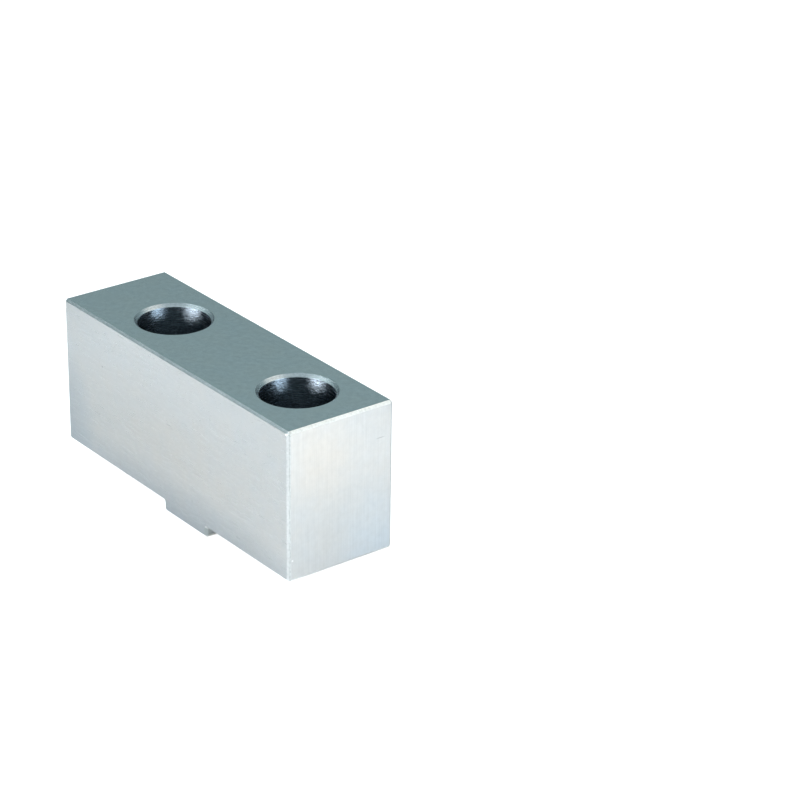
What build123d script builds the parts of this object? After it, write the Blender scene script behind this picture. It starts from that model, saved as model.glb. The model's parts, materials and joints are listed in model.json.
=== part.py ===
from build123d import *
import os

# Soft top jaw of a two-piece lathe chuck jaw, in millimetres.
# It stands on the foot of its cross tenon. X runs from the gripping end (-X) to the outer end (+X),
# Y runs across the jaw, and Z is up, away from the chuck's face.

# Block
length = 100.0           # gripping end to outer end
width = 31.5
height = 40.5            # seat to top face
edge_break = 0.6         # 45 degree chamfer on every outer edge, the tenon's as well

# Cross tenon, which drops into the cross slot of the base jaw
tenon_width = 19.0       # along X
tenon_height = 2.8       # foot to seat
root_radius = 0.5        # fillet between the tenon's flank and the seat

# Socket-head screws that hold the jaw down
screw_pitch = 54.0
outer_margin = 18.0      # outer end to the axis of the outer screw
screw_diameter = 12.0
screw_clearance = 0.5    # radial, round the shank
head_diameter = 18.0
head_clearance = 0.5     # radial, round the head
head_seat = 15.0         # steel between the screw's head and the seat
mouth_chamfer = 0.8      # at the top of each counterbore
exit_chamfer = 0.5       # where each screw bore meets the seat

# Aids to construction
overrun = 1.0            # how far a cutting profile stands out of the block
level = 0.001            # corners this near to a height lie at it

# Places that follow from the sizes
seat_z = tenon_height
top_z = seat_z + height
outer_screw_x = length / 2 - outer_margin
inner_screw_x = outer_screw_x - screw_pitch
tenon_x = (outer_screw_x + inner_screw_x) / 2
bore_radius = screw_diameter / 2 + screw_clearance
counterbore_radius = head_diameter / 2 + head_clearance


def corners_at(outline, z):
    """The outline's corners at one height, from the gripping end to the outer end."""
    return outline.vertices().filter_by_position(Axis.Y, z - level, z + level).sort_by(Axis.X)


def side_outline():
    """The jaw seen along Y: a rectangle with the tenon below it, its roots rounded and its corners broken."""
    block = Pos(0, seat_z + height / 2) * Rectangle(length, height)
    tenon = Pos(tenon_x, seat_z) * Rectangle(tenon_width, 2 * tenon_height)
    outline = block + tenon
    roots = corners_at(outline, seat_z)[1:-1]
    outline = fillet(roots, root_radius)
    seat = corners_at(outline, seat_z)
    outer = corners_at(outline, 0) + corners_at(outline, top_z) + [seat[0], seat[-1]]
    return chamfer(outer, edge_break)


def body():
    """The outline carried across the width, with the rims of both long sides broken as well."""
    solid = extrude(Plane.XZ * side_outline(), amount=width / 2, both=True)
    long_sides = solid.faces().filter_by(Axis.Y)
    return chamfer(long_sides.edges(), edge_break)


def screw_hole():
    """The space of one screw, a stepped half profile turned about Z: exit chamfer, shank, head and mouth."""
    ledge_z = seat_z + head_seat
    half = Polyline(
        (0, seat_z - overrun),
        (bore_radius + exit_chamfer + overrun, seat_z - overrun),
        (bore_radius, seat_z + exit_chamfer),
        (bore_radius, ledge_z),
        (counterbore_radius, ledge_z),
        (counterbore_radius, top_z - mouth_chamfer),
        (counterbore_radius + mouth_chamfer + overrun, top_z + overrun),
        (0, top_z + overrun),
        close=True,
    )
    return revolve(Plane.XZ * make_face(half), Axis.Z)


def jaw():
    """The whole part, milled and bored from one bar."""
    solid = body()
    for x in (inner_screw_x, outer_screw_x):
        solid -= Pos(x, 0, 0) * screw_hole()
    return solid


os.makedirs("parts", exist_ok=True)
export_step(jaw(), "parts/jaw.step")
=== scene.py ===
import json
import math

import bmesh
import bpy
from mathutils import Matrix, Vector

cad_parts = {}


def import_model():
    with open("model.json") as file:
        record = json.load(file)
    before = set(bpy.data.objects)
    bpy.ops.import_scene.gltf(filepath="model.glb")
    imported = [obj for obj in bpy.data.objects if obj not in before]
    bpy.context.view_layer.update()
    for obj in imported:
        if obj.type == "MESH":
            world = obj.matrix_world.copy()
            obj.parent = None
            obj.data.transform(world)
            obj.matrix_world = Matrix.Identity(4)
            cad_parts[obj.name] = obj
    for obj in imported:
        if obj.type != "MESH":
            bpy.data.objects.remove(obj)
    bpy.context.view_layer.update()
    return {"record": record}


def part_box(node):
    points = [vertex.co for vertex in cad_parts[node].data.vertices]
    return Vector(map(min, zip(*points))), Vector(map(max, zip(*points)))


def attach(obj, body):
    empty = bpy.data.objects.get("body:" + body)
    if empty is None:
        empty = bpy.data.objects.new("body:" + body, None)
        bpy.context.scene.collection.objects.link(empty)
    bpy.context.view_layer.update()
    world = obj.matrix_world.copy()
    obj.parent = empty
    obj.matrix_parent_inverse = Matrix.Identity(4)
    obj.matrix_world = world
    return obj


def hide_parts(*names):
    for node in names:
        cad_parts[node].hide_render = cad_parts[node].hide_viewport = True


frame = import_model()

# Soft top jaw of a lathe chuck, dressed for its picture. Lengths are in metres.
# X runs along the jaw to its outer end, Y across it, and Z up; it stands on the foot of its tenon.
MM = 0.001
UP = Vector((0, 0, 1))

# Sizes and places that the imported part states
low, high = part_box("jaw")
mounts = {m["name"]: m for m in frame["record"]["mounts"]}
SEAT_Z = mounts["seat"]["pos_m"][2]
LEDGE_Z = mounts["screw_pattern"]["pos_m"][2]
TENON_X = mounts["cross_tenon"]["pos_m"][0]
HALF_PITCH = mounts["screw_pattern"]["dims"]["spacing_x_mm"] / 2 * MM
SHANK_RADIUS = mounts["inner_screw_bore"]["dims"]["r_mm"] * MM
HEAD_RADIUS = mounts["inner_counterbore"]["dims"]["r_mm"] * MM
SCREW_XS = (TENON_X - HALF_PITCH, TENON_X + HALF_PITCH)

# Sizes that it doesn't state
TENON_WIDTH = 19.0 * MM
ROOT_RADIUS = 0.5 * MM
EDGE_BREAK = 0.6 * MM
MOUTH_CHAMFER = 0.8 * MM
EXIT_CHAMFER = 0.5 * MM

# Traces of the tools
BURR_FACET = 0.16 * MM       # the file's second, steeper pass round the ends
FEED = 0.25 * MM             # advance of the boring bar for each turn

# Fineness of the mesh
ROOT_SEGMENTS = 6
TURN_STEPS = 96
SHARP_ANGLE = math.radians(13)    # more than between two steps of a turned wall, less than at any edge
ONE_POINT = 1e-7                  # points this near to each other are one
ONE_LEVEL = 1e-6                  # points this near in height are level

# How much of a face's normal lies along an axis
EXACTLY = 0.999                   # the flat faces alone
SQUARELY = 0.99                   # those, and the first step of a rounding beside them
LEANING = 0.5                     # chamfers too
STEEP = 0.3                       # less than this: walls, and the steep steps of a rounding beside them
HARDLY = 0.1                      # less than this: walls alone

# Camera, as the photograph's perspective gives it
CAMERA_AZIMUTH = math.radians(51.954)
CAMERA_ELEVATION = math.radians(25.177)
CAMERA_ROLL = math.radians(0.830)
CAMERA_DISTANCE = 753.283 * MM    # along the line of sight, to the middle of the seat
SEAT_RIGHT = -45.095 * MM         # where that middle lies in the camera's view
SEAT_UP = -23.333 * MM
CAMERA_CLIP = (0.01, 20.0)
FOCAL_PIXELS = 2924.9
FRAME_PIXELS = 800
SENSOR = 36.0                     # millimetres


def add_object(name, data):
    obj = bpy.data.objects.new(name, data)
    bpy.context.scene.collection.objects.link(obj)
    return obj


def keep_object(name, bm):
    """Turns a finished bmesh into an object of the scene."""
    mesh = bpy.data.meshes.new(name)
    bm.to_mesh(mesh)
    bm.free()
    return add_object(name, mesh)


# Form of the jaw


def bevel(bm, geom, affect, offset, segments=1):
    bmesh.ops.bevel(bm, geom=geom, offset=offset, offset_type="OFFSET", segments=segments, profile=0.5,
                    affect=affect, material=-1)


def side_profile(bm):
    """One long side as a face, with its outer corners broken and the roots of the tenon rounded."""
    left, right = TENON_X - TENON_WIDTH / 2, TENON_X + TENON_WIDTH / 2
    corners = [
        (low.x, SEAT_Z), (left, SEAT_Z), (left, low.z), (right, low.z),
        (right, SEAT_Z), (high.x, SEAT_Z), (high.x, high.z), (low.x, high.z),
    ]
    verts = [bm.verts.new((x, low.y, z)) for x, z in corners]
    bm.faces.new(verts)
    roots = [verts[1], verts[4]]
    bevel(bm, [v for v in verts if v not in roots], "VERTICES", EDGE_BREAK)
    bevel(bm, roots, "VERTICES", ROOT_RADIUS, ROOT_SEGMENTS)


def is_side_or_end(face):
    return max(abs(face.normal.x), abs(face.normal.y)) > EXACTLY


def filed_twice(edge):
    """Whether a chamfer meets a long side or an end here; the long edges of the jaw got one pass only."""
    a, b = edge.verts
    runs_along = abs(a.co.x - b.co.x) > (high.x - low.x) / 10
    least, most = math.radians(30), math.radians(60)    # round the 45 degrees of a chamfer
    beside_chamfer = least < edge.calc_face_angle(0) < most
    meets = [is_side_or_end(f) for f in edge.link_faces].count(True) == 1
    return edge.is_convex and beside_chamfer and meets and not runs_along


def block(bm):
    """The profile carried across the jaw, and the rims of both long sides broken."""
    side_profile(bm)
    carried = bmesh.ops.extrude_face_region(bm, geom=bm.faces[:])
    moved = [v for v in carried["geom"] if isinstance(v, bmesh.types.BMVert)]
    bmesh.ops.translate(bm, verts=moved, vec=(0, high.y - low.y, 0))
    bmesh.ops.recalc_face_normals(bm, faces=bm.faces[:])
    rims = [e for e in bm.edges if abs(e.verts[0].co.y - e.verts[1].co.y) < ONE_POINT]
    bevel(bm, rims, "EDGES", EDGE_BREAK)
    bevel(bm, [e for e in bm.edges if filed_twice(e)], "EDGES", BURR_FACET)


def hole_profile():
    """Half section of a screw hole from its mouth to the seat, as (radius, height)."""
    return [
        (HEAD_RADIUS + MOUTH_CHAMFER, high.z),
        (HEAD_RADIUS, high.z - MOUTH_CHAMFER),
        (HEAD_RADIUS, LEDGE_Z),
        (SHANK_RADIUS, LEDGE_Z),
        (SHANK_RADIUS, SEAT_Z + EXIT_CHAMFER),
        (SHANK_RADIUS + EXIT_CHAMFER, SEAT_Z),
    ]


def turn_hole(bm, x):
    """Turns the half section about the axis of the screw."""
    verts = [bm.verts.new((x + radius, 0, z)) for radius, z in hole_profile()]
    edges = [bm.edges.new(pair) for pair in zip(verts, verts[1:])]
    bmesh.ops.spin(bm, geom=verts + edges, cent=(x, 0, 0), axis=UP, dvec=(0, 0, 0), angle=math.tau,
                   steps=TURN_STEPS, use_merge=True, use_normal_flip=False, use_duplicate=False)


def pierced_face(bm, z, up):
    """Opens the flat faces at one height and fills them again round the holes; up is 1 or -1."""
    flat = [f for f in bm.faces
            if f.normal.z * up > EXACTLY and abs(f.calc_center_median().z - z) < ONE_LEVEL]
    bmesh.ops.delete(bm, geom=flat, context="FACES_ONLY")
    rims = [e for e in bm.edges if e.is_boundary and all(abs(v.co.z - z) < ONE_LEVEL for v in e.verts)]
    bmesh.ops.triangle_fill(bm, use_beauty=True, use_dissolve=False, edges=rims, normal=(0, 0, up))


def jaw_mesh():
    bm = bmesh.new()
    block(bm)
    bm.normal_update()
    for x in SCREW_XS:
        turn_hole(bm, x)
    pierced_face(bm, high.z, 1)
    pierced_face(bm, SEAT_Z, -1)
    bmesh.ops.remove_doubles(bm, verts=bm.verts[:], dist=ONE_POINT)
    bmesh.ops.recalc_face_normals(bm, faces=bm.faces[:])
    return bm


# Nodes

NOISE_ROUGHNESS = 0.6
NOISE_LOW, NOISE_HIGH = 0.3, 0.7    # what noise mostly keeps to


def add_node(tree, kind, settings=None, inputs=None):
    """A new node with its settings, and its inputs as values or as sockets to read."""
    node = tree.nodes.new("ShaderNode" + kind)
    for name, value in (settings or {}).items():
        setattr(node, name, value)
    for name, value in (inputs or {}).items():
        if isinstance(value, bpy.types.NodeSocket):
            tree.links.new(value, node.inputs[name])
        else:
            node.inputs[name].default_value = value
    return node


def math_node(tree, operation, *values, clamp=False):
    node = add_node(tree, "Math", {"operation": operation, "use_clamp": clamp}, dict(enumerate(values)))
    return node.outputs[0]


def plus(tree, a, b):
    return math_node(tree, "ADD", a, b)


def minus(tree, a, b, clamp=False):
    return math_node(tree, "SUBTRACT", a, b, clamp=clamp)


def times(tree, a, b):
    return math_node(tree, "MULTIPLY", a, b)


def vector_node(tree, operation, *values):
    return add_node(tree, "VectorMath", {"operation": operation}, dict(enumerate(values)))


def vector_of(tree, x, y, z):
    return add_node(tree, "CombineXYZ", {}, {0: x, 1: y, 2: z}).outputs[0]


def parts_of(tree, vector):
    return add_node(tree, "SeparateXYZ", {}, {0: vector}).outputs


def length_of(tree, vector):
    return vector_node(tree, "LENGTH", vector).outputs["Value"]


def surface_point(tree):
    """Where a point of the surface lies, in metres."""
    return add_node(tree, "TexCoord").outputs["Object"]


def streaks(tree, where, size, detail=3.0):
    """Noise from 0 to 1 whose spots are size = (x, y, z) metres."""
    stretched = add_node(tree, "Mapping", {}, {"Vector": where, "Scale": [1 / s for s in size]})
    inputs = {"Vector": stretched.outputs[0], "Scale": 1.0, "Detail": detail, "Roughness": NOISE_ROUGHNESS}
    return add_node(tree, "TexNoise", {}, inputs).outputs[0]


def spread(tree, value, first, last, start=NOISE_LOW, end=NOISE_HIGH):
    """Carries start to first and end to last."""
    inputs = {"Value": value, "From Min": start, "From Max": end, "To Min": first, "To Max": last}
    return add_node(tree, "MapRange", {}, inputs).outputs["Result"]


def uneven(tree, noise, middle, swing):
    """Noise carried onto a middle value with a swing to both sides."""
    return spread(tree, noise, middle - swing, middle + swing)


def toward(tree, amount, value):
    """1 where amount is 0, and value where it is 1."""
    return spread(tree, amount, 1.0, value, 0.0, 1.0)


def tinted(tree, colour, factor, warmth=0.0):
    """A colour made lighter or darker by a factor, and redder or bluer by a warmth above or below 0."""
    red = times(tree, factor, plus(tree, 1.0, warmth))
    blue = times(tree, factor, minus(tree, 1.0, warmth))
    return vector_node(tree, "MULTIPLY", colour, vector_of(tree, red, factor, blue)).outputs[0]


def raise_surface(tree, shader, height):
    """Lets the surface stand out by a height in metres."""
    bump = add_node(tree, "Bump", {}, {"Strength": 1.0, "Distance": 1.0, "Height": height})
    tree.links.new(bump.outputs[0], shader.inputs["Normal"])


# Finishes

STEEL = (0.62, 0.65, 0.66)
BRIGHT_STEEL = (0.653, 0.658, 0.663)
# The ends' steel is made lighter than the other faces so that they show brighter: painted light
LIGHTENED_END_STEEL = (0.695, 0.70, 0.705)
# The seat and tenon steel is darkened as painted shade, for the shade under the jaw
SHADED_SEAT_STEEL = (0.48, 0.52, 0.53)
# The bores' steel is darkened far below bare steel as painted shade in the holes
SHADED_BORE_STEEL = (0.193, 0.228, 0.265)
MOUTH_STEEL = (0.65, 0.70, 0.725)
# One filed steel in three tones of painted light: the long edges plain, the upright edges lighter, the outer
# end's edges lightest as a painted highlight
LONG_EDGE_STEEL = (0.61, 0.635, 0.65)
LIT_UPRIGHT_EDGE_STEEL = (0.80, 0.82, 0.83)
HIGHLIGHT_END_EDGE_STEEL = (0.95, 0.96, 0.96)

# Straight finishes
ALONG_JAW, ACROSS_JAW, UPRIGHT = (1, 0, 0), (0, 1, 0), (0, 0, 1)
MARK_CORE = 0.6                # a mark is at its full strength from this far in
CLOUD_WARMTH = 0.012           # how far the colour wanders to warm and to cool
FINE_ROUGHNESS = 0.01          # how far the fine strokes swing the roughness

# Filed finishes
FILED_ROUGHNESS = 0.35
FILED_SWING = 0.05             # of the tone and of the roughness
FILED_GRAIN = (0.86, 1.1)      # tones of the ragged spots
# A painted dark line of shade along each broken edge
SHADE_LINE_WANDER = (0.25 * MM, 0.5 * MM)    # how far from the middle of an edge the painted dark line runs
SHADE_LINE_REACH = 0.22 * MM         # half width of the painted dark line
SHADE_LINE_TONE = 0.72

# Turned finishes
TURN_DRIFT = FEED / 20         # how far a turn strays from its place
RIDGE_GRAIN = (0.84, 1.18)     # height of a ridge along its way, as a share of the whole
TURNED_SWING = 0.03            # of the roughness


def mm(*lengths):
    """Lengths in millimetres, as metres."""
    return tuple(length * MM for length in lengths)


def new_steel(name, colour, anisotropy=0.0):
    material = bpy.data.materials.new(name)
    material.use_nodes = True
    tree = material.node_tree
    shader = tree.nodes["Principled BSDF"]
    shader.inputs["Base Color"].default_value = (*colour, 1)
    shader.inputs["Metallic"].default_value = 1.0
    shader.inputs["Anisotropic"].default_value = anisotropy
    return material, tree, shader


def spot(tree, where, centre, reach):
    """1 at the middle of a spot and 0 outside it; reach is its half length along each axis."""
    offset = vector_node(tree, "SUBTRACT", where, centre).outputs[0]
    scaled = vector_node(tree, "DIVIDE", offset, reach).outputs[0]
    return minus(tree, 1.0, length_of(tree, scaled), clamp=True)


def across(tree, grooves):
    """The direction in the surface that lies across its grooves, where light spreads furthest."""
    normal = add_node(tree, "NewGeometry").outputs["Normal"]
    return vector_node(tree, "CROSS_PRODUCT", normal, grooves).outputs[0]


def straight_finish(name, colour, along, roughness, anisotropy, fine, coarse, contrast, depth, grain,
                    marks=(), painted_light_and_shade=()):
    """A face finished by straight strokes along one axis.

    fine and coarse are the lengths of a stroke's mark and its widths, contrast is that of the coarse marks,
    depth that of the fine ones, and grain the contrast of small spots. marks are scratches and nicks, the
    nicks
    painted brighter as glints: middle, half lengths, brightness and height. The faint patches after them are
    painted shade, painted light and painted reflected tint: middle, half lengths, brightness and warmth."""
    material, tree, shader = new_steel(name, colour, anisotropy)
    where = surface_point(tree)
    fine_marks = streaks(tree, where, fine)
    coarse_marks = streaks(tree, where, coarse)
    grains = streaks(tree, where, mm(1.6, 1.6, 1.6))
    clouds = streaks(tree, where, mm(6, 6, 6))

    tone = times(tree, uneven(tree, coarse_marks, 1, contrast), uneven(tree, grains, 1, grain))
    warmth = uneven(tree, clouds, 0, CLOUD_WARMTH)
    # Painted shade, painted light and reflected tint in faint patches, darkening or lightening and tinting
    # the steel where they lie
    for centre, reach, brightness, tint in painted_light_and_shade:
        there = spot(tree, where, centre, reach)
        tone = times(tree, tone, toward(tree, there, brightness))
        warmth = plus(tree, warmth, times(tree, there, tint))

    height = times(tree, fine_marks, depth)
    # The marks darken or lighten the steel; a nick's lightening is a painted glint
    for centre, reach, brightness, rise in marks:
        there = spot(tree, where, centre, reach)
        tone = times(tree, tone, spread(tree, there, 1.0, brightness, 0.0, MARK_CORE))
        height = plus(tree, height, times(tree, there, rise))

    rough = plus(tree, uneven(tree, coarse_marks, roughness, contrast),
                 uneven(tree, fine_marks, 0, FINE_ROUGHNESS))
    tree.links.new(tinted(tree, colour, tone, warmth), shader.inputs["Base Color"])
    tree.links.new(rough, shader.inputs["Roughness"])
    tree.links.new(across(tree, along), shader.inputs["Tangent"])
    raise_surface(tree, shader, height)
    return material


def ground_top(name):
    """The top face, with two nicks on the rim of the inner hole, painted brighter as glints."""
    inner_x = SCREW_XS[0]
    # Each nick is a dent painted 1.8 times as bright as the steel: a painted glint
    glinting_nicks = [((inner_x + x, y, high.z), mm(0.3, 0.3, 0.3), 1.8, -0.02 * MM)
             for x, y in (mm(-0.55, -10.3), mm(8.2, -6.25))]
    return straight_finish(
        name, STEEL, along=ALONG_JAW, roughness=0.24, anisotropy=0.2,
        fine=mm(9, 0.14, 0.14), coarse=mm(40, 1.1, 1.1), contrast=0.005, depth=0.0005 * MM, grain=0.05,
        marks=glinting_nicks)


def ground_side(name):
    """The long sides, with a pit in the near one, and painted shade and reflected tint: darker and warmer in
    its middle, darker and bluer at its left and along its foot.
    """
    pit = ((-32.3 * MM, low.y, high.z - 13.1 * MM), mm(0.35, 0.35, 0.35), 0.7, -0.01 * MM)
    # Painted shade and reflected tint: the middle a little darker and warmer, the left and the foot darker
    # and bluer
    painted_light_and_shade = [
        ((-4 * MM, low.y, 18 * MM), mm(60, 10, 18), 0.97, 0.03),
        ((-52 * MM, low.y, 10 * MM), mm(16, 10, 22), 0.82, -0.07),
        ((5 * MM, low.y, 0.0), mm(75, 10, 13), 0.74, -0.065),
    ]
    return straight_finish(
        name, BRIGHT_STEEL, along=ALONG_JAW, roughness=0.28, anisotropy=0.2,
        fine=mm(3, 0.14, 0.14), coarse=mm(40, 1.1, 1.1), contrast=0.003, depth=0.00012 * MM, grain=0.012,
        marks=[pit], painted_light_and_shade=painted_light_and_shade)


def brushed_end(name):
    """The ends; the outer one has a scratch, a nick painted bright as a glint, and painted reflected tint and
    light: warmer at its top, lighter and bluer at its foot.
    """
    scratch = ((high.x, 11.8 * MM, high.z - 9.05 * MM), mm(1, 1.7, 0.15), 0.7, -0.01 * MM)
    # The nick stands out as a burr and is painted 1.6 times as bright as the steel: a painted glint
    glinting_nick = ((high.x, -14.6 * MM, 8.6 * MM), mm(0.3, 0.3, 0.3), 1.6, 0.02 * MM)
    # Painted reflected tint and light on the outer end: warmer at the top, lighter and bluer at the foot
    painted_light_and_shade = [
        ((high.x, -6 * MM, 34 * MM), mm(10, 15, 15), 1.0, 0.05),
        ((high.x, 12 * MM, 4 * MM), mm(10, 18, 20), 1.1, -0.07),
    ]
    return straight_finish(
        name, LIGHTENED_END_STEEL, along=UPRIGHT, roughness=0.34, anisotropy=0.5,
        fine=mm(0.16, 0.16, 9), coarse=mm(0.5, 0.5, 25), contrast=0.035, depth=0.0014 * MM, grain=0.03,
        marks=[scratch, glinting_nick], painted_light_and_shade=painted_light_and_shade)


def milled_seat(name):
    """The seat and the tenon below it, their steel darkened as painted shade under the jaw."""
    return straight_finish(
        name, SHADED_SEAT_STEEL, along=ACROSS_JAW, roughness=0.32, anisotropy=0.4,
        fine=mm(0.2, 12, 0.2), coarse=mm(0.9, 30, 0.9), contrast=0.02, depth=0.001 * MM, grain=0.02)


def from_edges(tree, where):
    """How far a point lies outside the middles of the broken edges, in x, y and z, alike on all sides."""
    parts = parts_of(tree, vector_node(tree, "ABSOLUTE", where).outputs[0])
    return [minus(tree, parts[axis], corner - EDGE_BREAK / 2) for axis, corner in zip("XYZ", high)]


def filed_finish(name, colour):
    """Edges broken by hand, with a wandering painted dark line of shade along them."""
    material, tree, shader = new_steel(name, colour)
    where = surface_point(tree)
    broad = streaks(tree, where, mm(4, 4, 4))
    ragged = streaks(tree, where, mm(0.6, 0.6, 0.6))
    wander = spread(tree, streaks(tree, where, mm(3, 3, 3)), *SHADE_LINE_WANDER)
    tone = times(tree, uneven(tree, broad, 1, FILED_SWING), spread(tree, ragged, *FILED_GRAIN))
    x, y, z = from_edges(tree, where)
    # Painted shade: a dark line along the edges
    for across_edge in (minus(tree, x, y), minus(tree, y, z)):
        off = math_node(tree, "ABSOLUTE", minus(tree, across_edge, wander))
        shade_line = minus(tree, 1.0, math_node(tree, "DIVIDE", off, SHADE_LINE_REACH), clamp=True)
        tone = times(tree, tone, toward(tree, shade_line, SHADE_LINE_TONE))
    tree.links.new(tinted(tree, colour, tone), shader.inputs["Base Color"])
    tree.links.new(uneven(tree, broad, FILED_ROUGHNESS, FILED_SWING), shader.inputs["Roughness"])
    return material


# One filed finish in three tones of painted light, by how each set of edges catches the light
def filed_long_edge(name):
    return filed_finish(name, LONG_EDGE_STEEL)


def filed_upright(name):
    return filed_finish(name, LIT_UPRIGHT_EDGE_STEEL)


def filed_end_edge(name):
    return filed_finish(name, HIGHLIGHT_END_EDGE_STEEL)


def hole_point(tree):
    """Where a point lies in its screw hole, alike for both, and how far along the hole's section.

    The way along the section stands in for the height."""
    parts = parts_of(tree, surface_point(tree))
    from_tenon = math_node(tree, "ABSOLUTE", minus(tree, parts["X"], TENON_X))
    from_axis = minus(tree, from_tenon, HALF_PITCH)
    radius = length_of(tree, vector_of(tree, from_axis, parts["Y"], 0.0))
    way = plus(tree, radius, parts["Z"])
    return vector_of(tree, from_axis, parts["Y"], way), way


def turned_finish(name, colour, roughness, contrast, slope):
    """Turned by a single point: a ridge for each turn, slope degrees steep, with a fine grain on it."""
    material, tree, shader = new_steel(name, colour)
    where, way = hole_point(tree)
    rings = streaks(tree, where, mm(9, 9, 0.5), detail=4.0)
    grain = streaks(tree, where, mm(0.65, 0.65, 0.35))
    tone = times(tree, uneven(tree, rings, 1, contrast), uneven(tree, grain, 1, 2 * contrast))
    turns = plus(tree, way, spread(tree, rings, 0.0, TURN_DRIFT))
    ridges = times(tree, math_node(tree, "PINGPONG", turns, FEED / 2), spread(tree, grain, *RIDGE_GRAIN))
    tree.links.new(tinted(tree, colour, tone), shader.inputs["Base Color"])
    tree.links.new(uneven(tree, rings, roughness, TURNED_SWING), shader.inputs["Roughness"])
    raise_surface(tree, shader, times(tree, ridges, math.tan(math.radians(slope))))
    return material


# The bore walls and ledges take the darkened steel: painted shade in the holes
def turned_bore(name):
    return turned_finish(name, SHADED_BORE_STEEL, roughness=0.27, contrast=0.12, slope=18)


def turned_ledge(name):
    return turned_finish(name, SHADED_BORE_STEEL, roughness=0.5, contrast=0.12, slope=10)


def turned_mouth(name):
    return turned_finish(name, MOUTH_STEEL, roughness=0.27, contrast=0.08, slope=7)


FINISHES = {
    "ground_top": ground_top,
    "ground_side": ground_side,
    "brushed_end": brushed_end,
    "milled_seat": milled_seat,
    "filed_long_edge": filed_long_edge,
    "filed_upright": filed_upright,
    "filed_end_edge": filed_end_edge,
    "turned_bore": turned_bore,
    "turned_ledge": turned_ledge,
    "turned_mouth": turned_mouth,
}


def finish_of(face):
    """The finish of a face, from where it lies and how it faces."""
    c, n = face.calc_center_median(), face.normal
    from_screw = min(Vector((c.x - x, c.y)).length for x in SCREW_XS)
    if from_screw < HEAD_RADIUS + MOUTH_CHAMFER and SEAT_Z + ONE_LEVEL < c.z < high.z - ONE_LEVEL:
        if n.z > SQUARELY:
            return "turned_ledge"
        return "turned_mouth" if abs(n.z) > LEANING else "turned_bore"
    if n.z > SQUARELY:
        return "ground_top"
    if abs(n.y) > SQUARELY:
        return "ground_side"
    if abs(n.x) > SQUARELY and c.z > SEAT_Z:
        return "brushed_end"
    tenon_wall = c.z < SEAT_Z + ONE_LEVEL and -n.z < STEEP
    if n.z < -SQUARELY or abs(n.x) > SQUARELY or tenon_wall:
        return "milled_seat"
    if abs(n.x) < HARDLY:
        return "filed_long_edge"
    return "filed_upright" if abs(n.z) < HARDLY else "filed_end_edge"


def make_jaw():
    bm = jaw_mesh()
    names = list(FINISHES)
    for face in bm.faces:
        finish = finish_of(face)
        face.material_index = names.index(finish)
        face.smooth = finish.startswith("turned")
    jaw = keep_object("jaw_body", bm)
    for name, finish in FINISHES.items():
        jaw.data.materials.append(finish(name))
    jaw.data.set_sharp_from_angle(angle=SHARP_ANGLE)
    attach(jaw, "root")
    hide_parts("jaw")


# Studio

FLOOR_REACH = 3.0
FLOOR_TONE = (0.68, 0.68, 0.68, 1)
FLOOR_GLOW_SEEN = 0.78        # added where the camera looks
FLOOR_GLOW_MIRRORED = 0.08    # added where the steel mirrors it
WHITE = (1, 1, 1, 1)
SKY = (    # sine of the height above the horizon, and the colour there
    (0.00, (0.03, 0.045, 0.05)),
    (0.26, (0.05, 0.07, 0.08)),
    (0.37, (0.34, 0.475, 0.495)),
    (0.60, (0.35, 0.475, 0.495)),
    (0.90, (0.46, 0.54, 0.575)),
)


def floor():
    """A pale floor that takes the jaw's shadow and that the camera sees nearly white."""
    bm = bmesh.new()
    bmesh.ops.create_grid(bm, x_segments=1, y_segments=1, size=FLOOR_REACH)
    obj = keep_object("floor", bm)
    material = bpy.data.materials.new("white_floor")
    material.use_nodes = True
    tree = material.node_tree
    shader = tree.nodes["Principled BSDF"]
    shader.inputs["Base Color"].default_value = FLOOR_TONE
    shader.inputs["Roughness"].default_value = 1.0
    shader.inputs["Specular IOR Level"].default_value = 0.0
    path = add_node(tree, "LightPath").outputs
    mirrored = math_node(tree, "MAXIMUM", path["Is Glossy Ray"], path["Is Transmission Ray"])
    glow = math_node(tree, "MAXIMUM", times(tree, path["Is Camera Ray"], FLOOR_GLOW_SEEN),
                     times(tree, mirrored, FLOOR_GLOW_MIRRORED))
    light = add_node(tree, "Emission", {}, {"Color": WHITE, "Strength": glow})
    both = add_node(tree, "AddShader", {}, {0: shader.outputs[0], 1: light.outputs[0]})
    tree.links.new(both.outputs[0], tree.nodes["Material Output"].inputs["Surface"])
    obj.data.materials.append(material)


def world():
    """A dim room above the horizon, brighter overhead; the camera alone sees it white, like the floor."""
    scene = bpy.context.scene
    scene.world = bpy.data.worlds.new("studio")
    scene.world.use_nodes = True
    tree = scene.world.node_tree
    height = parts_of(tree, add_node(tree, "TexCoord").outputs["Generated"])["Z"]
    ramp = add_node(tree, "ValToRGB", {}, {0: height})
    stops = ramp.color_ramp.elements
    while len(stops) < len(SKY):
        stops.new(0.5)
    for stop, (at, colour) in zip(stops, SKY):
        stop.position = at
        stop.color = (*colour, 1)
    seen = add_node(tree, "LightPath").outputs["Is Camera Ray"]
    # Inputs 6 and 7 and output 2 are those of a mix of colours
    mix = add_node(tree, "Mix", {"data_type": "RGBA"}, {0: seen, 6: ramp.outputs[0], 7: WHITE})
    tree.links.new(mix.outputs[2], tree.nodes["Background"].inputs["Color"])


def area_light(name, at, aim, size, power, colour):
    """A lamp at one point, turned to another; size is its width and height, and power is in watts."""
    data = bpy.data.lights.new(name, "AREA")
    data.shape = "RECTANGLE"
    data.size, data.size_y = size
    data.energy, data.color = power, colour
    obj = add_object(name, data)
    obj.location = at
    obj.rotation_euler = (Vector(at) - Vector(aim)).to_track_quat("Z", "Y").to_euler()
    obj.visible_camera = False
    return obj


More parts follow.
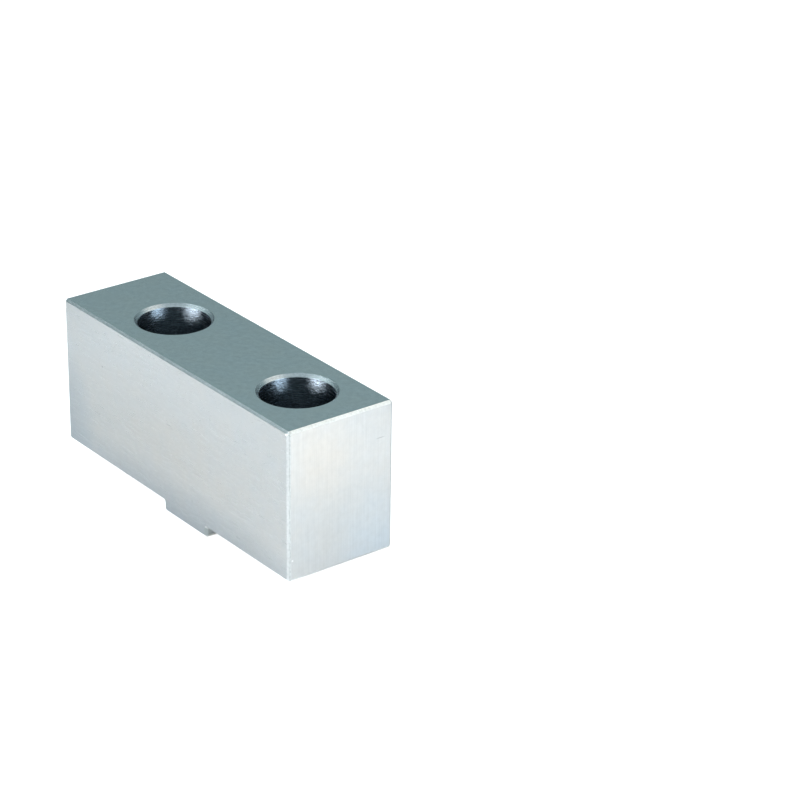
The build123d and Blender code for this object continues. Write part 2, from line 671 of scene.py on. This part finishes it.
def softbox(name, at, size, power, colour, beam=180):
    """A light turned to the middle of the top face; a grid in front of it narrows its beam, in degrees."""
    light = area_light(name, at, (0, 0, high.z), size, power, colour)
    light.data.spread = math.radians(beam)


def floor_light(name, at, aim, size, power, colour):
    """A light on the floor near the jaw, which the steel doesn't mirror."""
    light = area_light(name, at, aim, size, power, colour)
    light.visible_glossy = False


def lamps():
    """Softboxes for the top and the mouths, low strips for the bores, and light on the floor that the
    outer end and the near long side mirror."""
    softbox("key", (0.4, 0.4, 0.57), (0.7, 0.6), 0.8, (1.0, 0.84, 0.72))
    softbox("mouth_card", (-0.16, -0.27, 0.4), (0.5, 0.18), 0.22, (0.85, 0.97, 1.0))
    softbox("end_strip", (0.47, 0.15, 0.125), (0.4, 0.09), 0.175, (0.78, 0.91, 1.0), 60)
    softbox("side_strip", (-0.015, -0.15, 0.07), (0.18, 0.034), 0.053, (0.97, 0.99, 1.0), 70)
    jaw_top = (0, 0, high.z)
    floor_light("end_card", (0.268, 0.087, 0.103), jaw_top, (0.24, 0.13), 0.30, (0.8, 0.9, 1.0))
    floor_light("end_low", (0.165, -0.03, 0.035), jaw_top, (0.12, 0.04), 0.118, (1.0, 0.96, 0.90))
    floor_light("end_glow", (0.12, 0.047, 0.045), (0.12, 0.047, 0), (0.03, 0.05), 0.0145, (1.0, 0.93, 0.85))
    floor_light("side_card", (-0.035, -0.16, 0.072), jaw_top, (0.24, 0.045), 0.2, (1.0, 1.0, 1.0))
    floor_light("side_low", (-0.13, -0.09, 0.035), jaw_top, (0.12, 0.04), 0.034, (0.85, 0.92, 1.0))


def camera():
    """Looks from where the photograph was taken; the seat's middle lies left of and below the centre."""
    a, e, r = CAMERA_AZIMUTH, CAMERA_ELEVATION, CAMERA_ROLL
    back = Vector((math.sin(a) * math.cos(e), -math.cos(a) * math.cos(e), math.sin(e)))
    level = UP.cross(back).normalized()
    upright = back.cross(level)
    right = math.cos(r) * level + math.sin(r) * upright
    up = math.cos(r) * upright - math.sin(r) * level
    data = bpy.data.cameras.new("camera")
    data.sensor_width = SENSOR
    data.lens = FOCAL_PIXELS / FRAME_PIXELS * SENSOR
    data.clip_start, data.clip_end = CAMERA_CLIP
    obj = add_object("camera", data)
    at = back * CAMERA_DISTANCE - right * SEAT_RIGHT - up * SEAT_UP + Vector((0, 0, SEAT_Z))
    obj.matrix_world = Matrix.Translation(at) @ Matrix((right, up, back)).transposed().to_4x4()
    bpy.context.scene.camera = obj


make_jaw()
floor()
world()
lamps()
camera()
bpy.context.scene.view_settings.view_transform = "Standard"
